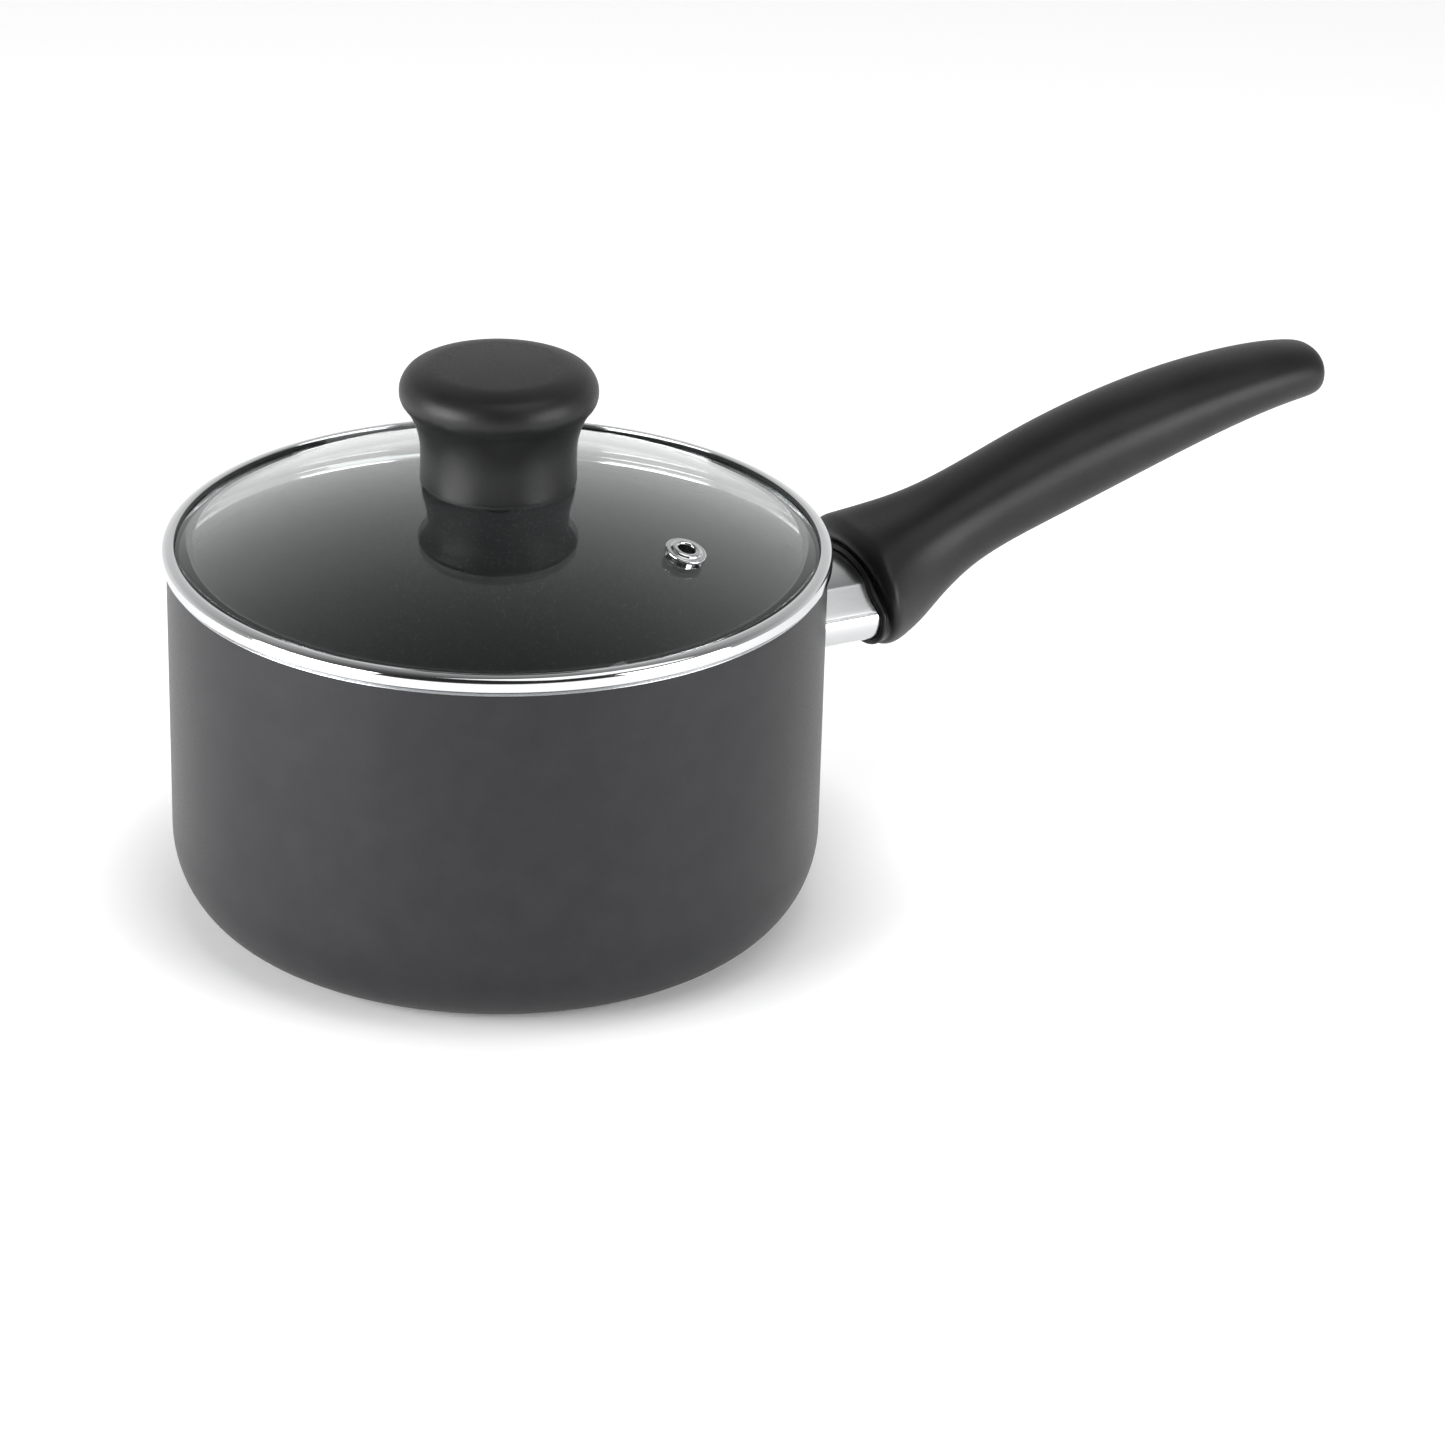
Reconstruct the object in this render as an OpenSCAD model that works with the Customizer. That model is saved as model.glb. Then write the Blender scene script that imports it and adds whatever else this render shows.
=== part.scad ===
// Saucepan with a domed glass lid.
// A drawn aluminium pan carries a moulded handle on a welded bracket. The tempered glass lid
// has a rolled stainless band, a steam vent and a moulded knob held by one screw from below.
// Frame: origin at the centre of the flat base, +Z up, +X along the handle.

/* [Pan] */
// Outside diameter at the rim
pan_d = 180.6; // [176:0.2:190]
// Height from the base to the rim
pan_h = 101.5; // [98:0.5:110]
// Wall thickness
pan_wall = 2.4; // [2:0.1:2.6]
// Base thickness
base_t = 3.4; // [2.8:0.1:5]
// Outside radius between the wall and the base
corner_r = 21.5; // [14:0.5:26]
// How much smaller the wall's radius is at its foot
wall_draft = 0.4; // [0:0.1:1]

/* [Lid] */
// Radius of the glass dome's top surface
dome_r = 200; // [190:1:220]
// Height of the dome's top above the pan's rim
dome_rise = 23.8; // [23:0.1:26]
// Thickness of the tempered glass
glass_t = 3.8; // [3:0.1:4.2]
// How far the steel band overhangs the pan's wall
band_over = 1.2; // [0.6:0.1:2]
// Height of the band's rolled outer face
band_h = 5; // [4:0.1:5.4]
// Thickness of the band's sheet
band_t = 0.7; // [0.5:0.05:0.8]
// How far the inner skirt reaches below the pan's rim
skirt_depth = 6.6; // [5:0.2:12]

/* [Vent] */
// Distance of the steam vent from the lid's axis
vent_offset = 59; // [40:1:65]
// Direction of the vent from the handle, in degrees
vent_angle = -57; // [-180:1:180]
// Diameter of the vent's flange
vent_flange_d = 11.4; // [10:0.2:14]
// Diameter of the steam hole
vent_hole_d = 4.8; // [3:0.1:5]

/* [Knob] */
// Greatest diameter of the knob
knob_d = 54.2; // [50:0.2:60]
// Diameter of the knob's neck
neck_d = 42.6; // [38:0.2:44]
// Height of the knob above its gasket
knob_h = 32.4; // [30:0.2:36]

/* [Handle] */
// Gap between the pan's wall and the handle's mouth
mouth_gap = 16.2; // [10:0.1:20]
// Height of the handle's mouth above the base
mouth_z = 75.5; // [70:0.5:80]
// Width of the steel flame guard
guard_w = 46; // [40:0.5:47]
// Height of the steel flame guard
guard_h = 21; // [18:0.5:22]
// Tilt of the bracket's tongue, in degrees
tongue_tilt = 15; // [12:0.5:17]

/* [Fasteners] */
// Diameter of the screws
screw_d = 5; // [4:0.5:5]
// Radial clearance round a shaft
fit_gap = 0.05; // [0.02:0.01:0.1]

/* [Hidden] */
$fn = 96;

// Inner radii of the shallow rings turned in the base
base_rings = [22, 36, 50, 64];

pan_r = pan_d / 2;
foot_r = pan_r - wall_draft;
rest_gap = 0.05;

band_r = pan_r + band_over;
band_z = pan_h + rest_gap;
band_top = band_z + band_h;
skirt_r = pan_r - pan_wall - 0.6;
glass_edge_r = band_r - band_t - 0.4;
glass_edge_round = 1;
lip_r = glass_edge_r - 2.2;

dome_top = pan_h + dome_rise;
dome_c = dome_top - dome_r;
glass_hole_r = 4;

gasket_t = 0.8;
knob_z = dome_top + gasket_t;
knob_top = knob_z - 0.35 + knob_h;
head_round = 5.6;
neck_top = knob_z + 9.5;

screw_r = screw_d / 2;
bore_r = screw_r + fit_gap;
under_z = dome_top - glass_t;
washer_z = under_z - 1.35;
spring_z = washer_z - 1;
screw_head_z = spring_z - 1.4;
screw_head_h = 3.2;
insert_h = 13;

guard_z = 73;
guard_wall = 0.8;
guard_side_r = 7;
guard_seat = 8;
mouth_x = pan_r + mouth_gap;

tongue_x = pan_r + 1.6;
tongue_z = 72;
tongue_l = 56;
tongue_w = 14;
tongue_t = 4;
bolt_u = 48;
seat_v = -5.6;
nut_h = 4;
nut_af = 8;

// Handle stations: distance from the mouth, rise above the mouth, half width, half height
handle_stations = [
    [-1.0, 0.0, 23.7, 15.2],
    [0.5, 0.0, 25.4, 17.2],
    [2.2, 0.0, 25.8, 18.0],
    [6.0, 0.8, 24.8, 18.3],
    [13.5, 3.0, 21.5, 17.6],
    [25.5, 8.2, 16.5, 14.7],
    [41.5, 14.9, 14.0, 12.7],
    [63.5, 23.0, 14.5, 13.1],
    [88.5, 31.0, 15.0, 12.7],
    [113.5, 37.2, 14.5, 11.0],
    [138.5, 41.0, 12.5, 9.1],
    [150.5, 41.6, 10.8, 7.8],
    [154.5, 41.6, 9.2, 6.5],
    [155.8, 41.5, 6.5, 4.4]
];
loft_steps = 3;
loft_sides = 40;
section_power = 2.2;

// ---------- helpers ----------

// Smooth curve through four values, t from 0 to 1 between b and c
function blend4(a, b, c, d, t) =
    0.5 * ((2 * b) + (c - a) * t + (2 * a - 5 * b + 4 * c - d) * t * t
    + (3 * b - a - 3 * c + d) * t * t * t);

function pick(list, i) = list[max(0, min(len(list) - 1, i))];

function station(list, i, t) =
    [for (k = [0:3]) blend4(pick(list, i - 1)[k], pick(list, i)[k],
        pick(list, i + 1)[k], pick(list, i + 2)[k], t)];

function power_cos(a) = sign(cos(a)) * pow(abs(cos(a)), 2 / section_power);
function power_sin(a) = sign(sin(a)) * pow(abs(sin(a)), 2 / section_power);

// Rectangle from (x0, y0) to (x1, y1) with round corners
module round_box(x0, y0, x1, y1, r) {
    translate([x0 + r, y0]) square([x1 - x0 - 2 * r, y1 - y0]);
    translate([x0, y0 + r]) square([x1 - x0, y1 - y0 - 2 * r]);
    for (x = [x0 + r, x1 - r], y = [y0 + r, y1 - r])
        translate([x, y]) circle(r);
}

// Half profile of a cup: straight drafted wall, round corner, flat base
module cup_profile(top_r, low_r, z0, z1, round_r) {
    translate([0, z0]) square([low_r - round_r, round_r]);
    translate([0, z0 + round_r])
        polygon([[0, 0], [low_r, 0], [top_r, z1 - z0 - round_r], [0, z1 - z0 - round_r]]);
    intersection() {
        translate([low_r - round_r, z0 + round_r]) circle(round_r, $fn = 180);
        translate([0, z0]) square([low_r, round_r + 1]);
    }
}

// Half disc in the right-hand plane, for the two faces of the dome
module dome_disc(r) {
    intersection() {
        translate([0, dome_c]) circle(r, $fn = 360);
        translate([0, pan_h - 20]) square([band_r, 80]);
    }
}

// Oval made of two large and two small arcs that meet smoothly
module oval(w, h, side_r) {
    a = w / 2;
    b = h / 2;
    big_r = ((a - side_r) ^ 2 + b ^ 2 - side_r ^ 2) / (2 * (b - side_r));
    meet = (a - side_r) * big_r / (big_r - side_r);
    intersection() {
        translate([0, b - big_r]) circle(big_r, $fn = 180);
        translate([0, big_r - b]) circle(big_r, $fn = 180);
        square([2 * meet, h + 1], center = true);
    }
    for (x = [side_r - a, a - side_r])
        translate([x, 0]) circle(side_r);
}

// Places children in the vent's frame: origin on the glass, +Z along its normal
module at_vent() {
    rotate([0, 0, vent_angle])
        translate([0, 0, dome_c])
        rotate([0, asin(vent_offset / dome_r), 0])
        translate([0, 0, dome_r])
        children();
}

// Places children in the tongue's frame: +X along the tongue, origin at the weld
module at_tongue() {
    translate([tongue_x, 0, tongue_z])
        rotate([0, -tongue_tilt, 0])
        children();
}

module at_bolt() {
    at_tongue() translate([bolt_u, 0, 0]) children();
}

module ring(inner_r, outer_r, h) {
    rotate_extrude() translate([inner_r, 0]) square([outer_r - inner_r, h]);
}

// Oval bar that stands on the pan's side and points along +X
module guard_bar(x0, x1, w, h, side_r) {
    translate([x0, 0, guard_z])
        rotate([90, 0, 90])
        linear_extrude(x1 - x0)
        oval(w, h, side_r);
}

// ---------- pan ----------

module pan_body() {
    inner_top = pan_r - pan_wall;
    rim_round = pan_wall / 2;
    color([0.34, 0.34, 0.35])
    difference() {
        rotate_extrude($fn = 180)
            union() {
                difference() {
                    cup_profile(pan_r, foot_r, 0, pan_h - rim_round, corner_r);
                    cup_profile(inner_top, foot_r - pan_wall, base_t, pan_h, corner_r - pan_wall);
                }
                translate([pan_r - rim_round, pan_h - rim_round]) circle(rim_round);
            }
        for (r = base_rings)
            translate([0, 0, -1]) ring(r, r + 1.6, 1.3);
    }
}

module bracket_pad() {
    pad_t = 2;
    color([0.72, 0.73, 0.74])
    intersection() {
        rotate_extrude($fn = 180)
            translate([pan_r + 0.05, guard_z - 7]) square([pad_t, 14]);
        translate([pan_r - 10, -13, guard_z - 8]) cube([30, 26, 16]);
    }
}

module bracket_tongue() {
    color([0.7, 0.71, 0.72])
    difference() {
        at_tongue()
            difference() {
                translate([0, -tongue_w / 2, -tongue_t / 2])
                    cube([tongue_l, tongue_w, tongue_t]);
                translate([bolt_u, 0, -tongue_t]) cylinder(h = 2 * tongue_t, r = bore_r);
            }
        translate([0, 0, tongue_z - 20]) cylinder(h = 40, r = pan_r + 2.1, $fn = 180);
    }
}

module weld_nut() {
    color([0.66, 0.64, 0.58])
    at_bolt()
        translate([0, 0, tongue_t / 2 + rest_gap])
        difference() {
            cylinder(h = nut_h, r = nut_af / 2 / cos(30), $fn = 6);
            translate([0, 0, -1]) cylinder(h = nut_h + 2, r = bore_r);
        }
}

module flame_guard() {
    end_x = mouth_x + guard_seat;
    color([0.8, 0.81, 0.82])
    difference() {
        guard_bar(pan_r - 8, end_x, guard_w, guard_h, guard_side_r);
        guard_bar(pan_r - 9, end_x + 1, guard_w - 2 * guard_wall,
            guard_h - 2 * guard_wall, guard_side_r - guard_wall);
        translate([0, 0, guard_z - 20]) cylinder(h = 40, r = pan_r + 0.05, $fn = 180);
    }
}

// ---------- handle ----------

// One closed loft through the stations, rings square to the handle's own curve
module handle_loft() {
    spans = len(handle_stations) - 1;
    rings = [for (i = [0:spans - 1], j = [0:loft_steps - 1])
        station(handle_stations, i, j / loft_steps), handle_stations[spans]];
    count = len(rings);
    points = [for (i = [0:count - 1])
        let (
            before = rings[max(0, i - 1)],
            after = rings[min(count - 1, i + 1)],
            lean = atan2(after[1] - before[1], after[0] - before[0]),
            turn = i < 5 ? 0 : lean
        )
        for (k = [0:loft_sides - 1])
            let (
                a = 360 * k / loft_sides,
                side = rings[i][2] * power_cos(a),
                up = rings[i][3] * power_sin(a)
            )
            [mouth_x + rings[i][0] - up * sin(turn), side, mouth_z + rings[i][1] + up * cos(turn)]
    ];
    walls = [for (i = [0:count - 2], k = [0:loft_sides - 1])
        let (k2 = (k + 1) % loft_sides)
        [i * loft_sides + k, i * loft_sides + k2,
            (i + 1) * loft_sides + k2, (i + 1) * loft_sides + k]];
    mouth_face = [for (k = [0:loft_sides - 1]) loft_sides - 1 - k];
    tip_face = [for (k = [0:loft_sides - 1]) (count - 1) * loft_sides + k];
    polyhedron(points = points, faces = concat(walls, [mouth_face, tip_face]), convexity = 4);
}

module handle_grip() {
    slack = 0.1;
    color([0.2, 0.2, 0.21])
    difference() {
        handle_loft();
        guard_bar(mouth_x - 4, mouth_x + guard_seat + slack, guard_w + 2 * slack,
            guard_h + 2 * slack, guard_side_r + slack);
        at_tongue() {
            translate([0, -tongue_w / 2 - slack, -tongue_t / 2 - slack])
                cube([tongue_l + 2 * slack, tongue_w + 2 * slack, tongue_t + 2 * slack]);
            translate([0, -nut_af / 2 - 1, 0])
                cube([tongue_l + 2 * slack, nut_af + 2, tongue_t / 2 + nut_h + 3 * slack]);
        }
        at_bolt() {
            translate([0, 0, seat_v - 0.5]) cylinder(h = 6, r = screw_r + 0.3);
            translate([0, 0, seat_v - 24]) cylinder(h = 24, r = 5);
        }
    }
}

module handle_lock_washer() {
    color([0.75, 0.76, 0.77])
    at_bolt()
        translate([0, 0, seat_v - 1])
        ring(bore_r, 4.4, 0.95);
}

module handle_screw() {
    head_h = 2.4;
    socket_r = 1.7;
    color([0.78, 0.79, 0.8])
    at_bolt()
        translate([0, 0, seat_v - 1 - rest_gap])
        difference() {
            union() {
                cylinder(h = 12.2, r = screw_r);
                translate([0, 0, -head_h]) cylinder(h = head_h, r = 4.2);
            }
            translate([0, 0, -head_h - 0.01]) cylinder(h = 1.5, r = socket_r, $fn = 6);
        }
}

// ---------- lid ----------

module lid_glass() {
    color([0.75, 0.82, 0.82, 0.35])
    difference() {
        rotate_extrude($fn = 180)
            intersection() {
                difference() {
                    dome_disc(dome_r);
                    dome_disc(dome_r - glass_t);
                }
                translate([0, band_z + band_t + rest_gap])
                    round_box(-glass_edge_round, 0, glass_edge_r, 60, glass_edge_round);
            }
        translate([0, 0, under_z - 5]) cylinder(h = 20, r = glass_hole_r);
        at_vent() translate([0, 0, -10]) cylinder(h = 20, r = 3.6);
    }
}

// Rolled channel round the glass, a flat ledge on the rim and a stepped skirt inside the pan
module rim_band() {
    roll_r = 1.9;
    step_z = pan_h - 2.8;
    low_r = skirt_r - 1.3;
    color([0.82, 0.83, 0.84])
    rotate_extrude($fn = 180) {
        difference() {
            round_box(lip_r - 6, band_z, band_r, band_top, roll_r);
            round_box(lip_r - 7, band_z + band_t, band_r - band_t, band_top - band_t, roll_r - band_t);
            translate([lip_r - 8, band_z + band_t]) square([8, band_h]);
            translate([lip_r - 8, band_z - 1]) square([skirt_r - band_t - lip_r + 8, band_h]);
        }
        translate([skirt_r - band_t, step_z]) square([band_t, band_z - step_z + band_t]);
        translate([low_r - band_t, step_z - band_t]) square([skirt_r - low_r + band_t, band_t + 0.1]);
        translate([low_r - band_t, pan_h - skirt_depth])
            square([band_t, skirt_depth - (pan_h - step_z)]);
        translate([low_r - band_t / 2, pan_h - skirt_depth]) circle(0.6);
    }
}

module knob_gasket() {
    color([0.16, 0.16, 0.17])
    rotate_extrude()
        intersection() {
            difference() {
                dome_disc(dome_r + gasket_t);
                dome_disc(dome_r + rest_gap);
            }
            translate([4.6, pan_h]) square([neck_d / 2 - 5.1, 60]);
        }
}

// Round mushroom head on a straight neck, hollowed to sit on the dome
module knob_grip() {
    head_r = knob_d / 2;
    round_z = knob_top - 1 - head_round;
    color([0.22, 0.22, 0.23])
    difference() {
        rotate_extrude() {
            difference() {
                union() {
                    translate([0, pan_h]) square([neck_d / 2, neck_top - pan_h]);
                    translate([0, neck_top])
                        polygon([[0, 0], [neck_d / 2, 0],
                            [head_r - 1.7, round_z - neck_top - 4], [0, round_z - neck_top]]);
                    translate([head_r - head_round, round_z]) circle(head_round);
                    translate([0, round_z - head_round])
                        square([head_r - head_round, 2 * head_round]);
                    intersection() {
                        translate([0, knob_top - 190]) circle(190, $fn = 360);
                        translate([0, round_z]) square([head_r - head_round, 2 * head_round]);
                    }
                }
                dome_disc(dome_r + gasket_t + rest_gap);
            }
        }
        translate([0, 0, pan_h]) cylinder(h = knob_z + insert_h + 1 - pan_h, r = 4.55);
    }
}

module knob_insert() {
    color([0.74, 0.6, 0.3])
    translate([0, 0, knob_z + 0.3])
        difference() {
            union() {
                cylinder(h = insert_h, r = 4.2);
                for (z = [1.5, insert_h - 4])
                    translate([0, 0, z]) cylinder(h = 2.5, r = 4.5);
            }
            translate([0, 0, -1]) cylinder(h = insert_h + 0.4, r = bore_r);
        }
}

module under_gasket() {
    color([0.16, 0.16, 0.17])
    rotate_extrude() {
        translate([bore_r, washer_z + rest_gap]) square([glass_hole_r - 0.05 - bore_r, glass_t]);
        intersection() {
            dome_disc(dome_r - glass_t - rest_gap);
            translate([bore_r, washer_z + rest_gap]) square([8.2 - bore_r, 4]);
        }
    }
}

module flat_washer() {
    color([0.78, 0.79, 0.8])
    translate([0, 0, spring_z + rest_gap]) ring(bore_r, 7.6, 0.95);
}

module spring_washer() {
    slit = 0.8;
    color([0.74, 0.75, 0.76])
    translate([0, 0, screw_head_z + rest_gap])
        difference() {
            ring(bore_r, 4.4, 1.3);
            rotate([25, 0, 0]) translate([0, -slit / 2, -4]) cube([8, slit, 8]);
        }
}

module knob_screw() {
    color([0.8, 0.81, 0.82])
    difference() {
        union() {
            translate([0, 0, screw_head_z]) cylinder(h = knob_z + 11 - screw_head_z, r = screw_r);
            translate([0, 0, screw_head_z - screw_head_h + 1]) cylinder(h = screw_head_h - 1, r = 4.8);
            translate([0, 0, screw_head_z - screw_head_h]) cylinder(h = 1.01, r1 = 4, r2 = 4.8);
        }
        for (a = [0, 90])
            rotate([0, 0, a])
                translate([-2.6, -0.6, screw_head_z - screw_head_h - 0.01]) cube([5.2, 1.2, 1.8]);
    }
}

// ---------- vent ----------

module vent_eyelet() {
    flange_r = vent_flange_d / 2;
    hole_r = vent_hole_d / 2;
    color([0.84, 0.85, 0.86])
    at_vent()
        rotate_extrude() {
            translate([hole_r, -glass_t - 1.6]) square([3.5 - hole_r, glass_t + 2.4]);
            round_box(hole_r, 0.55, flange_r, 1.35, 0.38);
            translate([hole_r + 0.75, 1.25]) circle(0.75);
        }
}

module vent_gasket() {
    color([0.16, 0.16, 0.17])
    at_vent() translate([0, 0, 0.02]) ring(3.6, 5.2, 0.48);
}

module vent_ring() {
    color([0.8, 0.81, 0.82])
    at_vent() translate([0, 0, -glass_t - 1.2]) ring(3.55, 5, 1.05);
}

pan_body();
bracket_pad();
bracket_tongue();
weld_nut();
flame_guard();
handle_grip();
handle_screw();
handle_lock_washer();
knob_screw();
lid_glass();
rim_band();
knob_grip();
knob_insert();
knob_gasket();
under_gasket();
flat_washer();
spring_washer();
vent_eyelet();
vent_gasket();
vent_ring();
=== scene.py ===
"""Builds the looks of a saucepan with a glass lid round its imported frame.

Lengths are metres. The origin is the centre of the pan's base, +Z is up, +X runs along the handle.
"""

from math import atan2, hypot, pi, radians, sqrt

import bmesh
import bpy
from mathutils import Matrix, Vector


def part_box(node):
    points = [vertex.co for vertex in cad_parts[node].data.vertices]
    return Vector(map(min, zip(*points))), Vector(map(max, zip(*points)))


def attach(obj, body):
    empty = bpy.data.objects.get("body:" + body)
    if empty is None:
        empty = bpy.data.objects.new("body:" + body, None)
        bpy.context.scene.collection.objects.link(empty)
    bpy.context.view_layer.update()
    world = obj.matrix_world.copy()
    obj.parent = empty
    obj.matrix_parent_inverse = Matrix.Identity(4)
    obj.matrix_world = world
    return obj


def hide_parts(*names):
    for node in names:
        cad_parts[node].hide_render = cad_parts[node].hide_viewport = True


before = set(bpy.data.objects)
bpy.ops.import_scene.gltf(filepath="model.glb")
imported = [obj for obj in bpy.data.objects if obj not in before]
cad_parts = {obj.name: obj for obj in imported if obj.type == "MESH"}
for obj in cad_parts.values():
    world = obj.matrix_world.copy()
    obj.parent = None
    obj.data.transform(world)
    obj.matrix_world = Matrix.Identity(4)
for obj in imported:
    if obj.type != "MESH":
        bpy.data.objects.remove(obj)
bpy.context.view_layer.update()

bl_info = {
    "name": "Saucepan with Glass Lid",
    "version": (1, 0, 0),
    "blender": (4, 5, 0),
    "location": "3D View > Sidebar > Saucepan",
    "description": "Builds a saucepan, its glass lid and a plain studio round the packed frame",
    "category": "Mesh",
}

MM = 0.001
ROUND_STEPS = 192
PAN_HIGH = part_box("pan_body")[1]
BAND_LOW, BAND_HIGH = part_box("rim_band")
KNOB_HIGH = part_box("knob_grip")[1]
GUARD_LOW, GUARD_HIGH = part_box("flame_guard")
GUARD_MIDDLE = (GUARD_LOW.z + GUARD_HIGH.z) / 2


# ---------------------------------------------------------------- colours and nodes


def linear(hex_colour):
    """An sRGB hex colour as the linear RGBA that shaders use."""
    levels = [int(hex_colour[i : i + 2], 16) / 255 for i in (1, 3, 5)]
    return tuple(
        c / 12.92 if c <= 0.04045 else ((c + 0.055) / 1.055) ** 2.4 for c in levels
    ) + (1.0,)


def add_node(tree, kind, settings=None, inputs=None):
    """Adds a node, sets its properties, and sets or links its inputs."""
    node = tree.nodes.new(kind)
    for name, value in (settings or {}).items():
        setattr(node, name, value)
    for name, value in (inputs or {}).items():
        if isinstance(value, bpy.types.NodeSocket):
            tree.links.new(value, node.inputs[name])
        else:
            node.inputs[name].default_value = value
    return node


def new_material(name, surface):
    """An empty node material with one Principled shader, and its tree."""
    material = bpy.data.materials.new(name)
    material.use_nodes = True
    tree = material.node_tree
    tree.nodes.clear()
    shader = add_node(tree, "ShaderNodeBsdfPrincipled", inputs=surface)
    add_node(tree, "ShaderNodeOutputMaterial", inputs={"Surface": shader.outputs[0]})
    return material, tree, shader


def object_place(tree):
    """Each piece's own coordinates, which are the frame's because no object is moved."""
    return add_node(tree, "ShaderNodeTexCoord").outputs["Object"]


def turned_place(tree):
    """Coordinates that change only with the distance from the pan's axis and the height."""
    axes = add_node(tree, "ShaderNodeSeparateXYZ", inputs={0: object_place(tree)})
    flat = add_node(
        tree,
        "ShaderNodeCombineXYZ",
        inputs={0: axes.outputs["X"], 1: axes.outputs["Y"]},
    )
    radius = add_node(
        tree,
        "ShaderNodeVectorMath",
        {"operation": "LENGTH"},
        {0: flat.outputs[0]},
    )
    return add_node(
        tree,
        "ShaderNodeCombineXYZ",
        inputs={0: radius.outputs["Value"], 2: axes.outputs["Z"]},
    ).outputs[0]


def grain(tree, place, size, detail=3.0):
    """Noise whose spots are about size metres across."""
    return add_node(
        tree,
        "ShaderNodeTexNoise",
        inputs={"Vector": place, "Scale": 1 / size, "Detail": detail},
    ).outputs["Fac"]


def spread(tree, value, low, high, out_low, out_high):
    """Maps a range of a value onto another range, and holds it at the ends."""
    return add_node(
        tree,
        "ShaderNodeMapRange",
        inputs={
            "Value": value,
            "From Min": low,
            "From Max": high,
            "To Min": out_low,
            "To Max": out_high,
        },
    ).outputs["Result"]


def tint(tree, factor, first, second):
    """A colour between two sRGB hex colours."""
    mix = add_node(tree, "ShaderNodeMix", {"data_type": "RGBA"})
    mix.inputs[6].default_value = linear(first)
    mix.inputs[7].default_value = linear(second)
    tree.links.new(factor, mix.inputs[0])
    return mix.outputs[2]


def add_bump(tree, shader, height, depth, strength):
    """Raises the surface by depth metres where height is 1."""
    bump = add_node(
        tree,
        "ShaderNodeBump",
        inputs={"Strength": strength, "Distance": depth, "Height": height},
    )
    tree.links.new(bump.outputs["Normal"], shader.inputs["Normal"])


# ---------------------------------------------------------------- finishes


def bare_metal(name, colour, pattern, roughness, bump=None):
    """A bare metal whose roughness follows a pattern, with a bump given as depth and strength."""
    material, tree, shader = new_material(name, {"Metallic": 1.0, "Base Color": linear(colour)})
    lines = pattern(tree)
    tree.links.new(spread(tree, lines, 0.3, 0.7, *roughness), shader.inputs["Roughness"])
    if bump:
        add_bump(tree, shader, lines, *bump)
    return material


def turned_lines(size, detail):
    """A pattern of rings round the pan's axis, size metres apart."""
    return lambda tree: grain(tree, turned_place(tree), size, detail)


def metallic_coating(look):
    """Heat-proof polyester coating with aluminium flake, sprayed on the drawn pan.

    The eye sees a dark grey satin with a broad soft sheen and a fine uneven sparkle.
    The flake is drawn about 0.4 mm across, far coarser than real, so that it shows.
    """
    material, tree, shader = new_material(
        "metallic_coating", {"Metallic": 0.55, "Specular IOR Level": 0.4}
    )
    place = object_place(tree)
    flake = grain(tree, place, 0.4 * MM, 2.0)
    cloud = grain(tree, place, 9 * MM, 2.0)
    both = add_node(
        tree, "ShaderNodeMath", {"operation": "ADD"}, {0: flake, 1: cloud}
    ).outputs[0]
    colour = tint(tree, spread(tree, both, 0.7, 1.3, 0, 1), "#2b2b2d", "#313133")
    tree.links.new(colour, shader.inputs["Base Color"])
    tree.links.new(
        spread(tree, flake, 0.3, 0.7, look.coat_roughness - 0.05, look.coat_roughness + 0.06),
        shader.inputs["Roughness"],
    )
    add_bump(tree, shader, flake, 0.02 * MM, 0.5)
    return material


def nonstick_coating(look):
    """Two-coat dark nonstick inside the pan: near black, smooth, with faint mineral specks.

    The specks are drawn about 0.7 mm across.
    """
    material, tree, shader = new_material("nonstick_coating", {"IOR": 1.4})
    place = object_place(tree)
    speck = grain(tree, place, 0.7 * MM, 1.0)
    colour = tint(tree, spread(tree, speck, 0.62, 0.7, 0, 1), "#404041", "#525253")
    tree.links.new(colour, shader.inputs["Base Color"])
    tree.links.new(
        spread(tree, grain(tree, place, 6 * MM), 0.3, 0.7, 0.3, 0.4),
        shader.inputs["Roughness"],
    )
    add_bump(tree, shader, grain(tree, place, 0.9 * MM, 2.0), 0.03 * MM, 0.4)
    return material


def turned_aluminium(look):
    """Bare aluminium, faced on a lathe, on the pan's rim and base rings.

    It is bright, with fine circular tool lines drawn 0.25 mm apart.
    """
    lines = turned_lines(0.25 * MM, 1.0)
    return bare_metal("turned_aluminium", "#dcdddf", lines, (0.18, 0.34), (0.01 * MM, 0.5))


def polished_band_steel(look):
    """304 stainless strip, mirror rolled and spun round the glass.

    Nearly a mirror, with faint drawing lines 0.6 mm apart that run round the lid.
    """
    lines = turned_lines(0.6 * MM, 2.0)
    return bare_metal("polished_band_steel", look.steel, lines, (0.05, 0.12), (0.004 * MM, 0.35))


def satin_guard_steel(look):
    """304 stainless sheet, pressed into the flame guard and lightly brushed along the handle.

    It is softer than the band, with brush lines 0.3 mm wide drawn out along X.
    """

    def brush(tree):
        stretched = add_node(
            tree,
            "ShaderNodeMapping",
            inputs={"Vector": object_place(tree), "Scale": (0.02, 1.0, 1.0)},
        ).outputs[0]
        return grain(tree, stretched, 0.3 * MM, 2.0)

    return bare_metal("satin_guard_steel", look.steel, brush, (0.16, 0.26), (0.004 * MM, 0.4))


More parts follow.
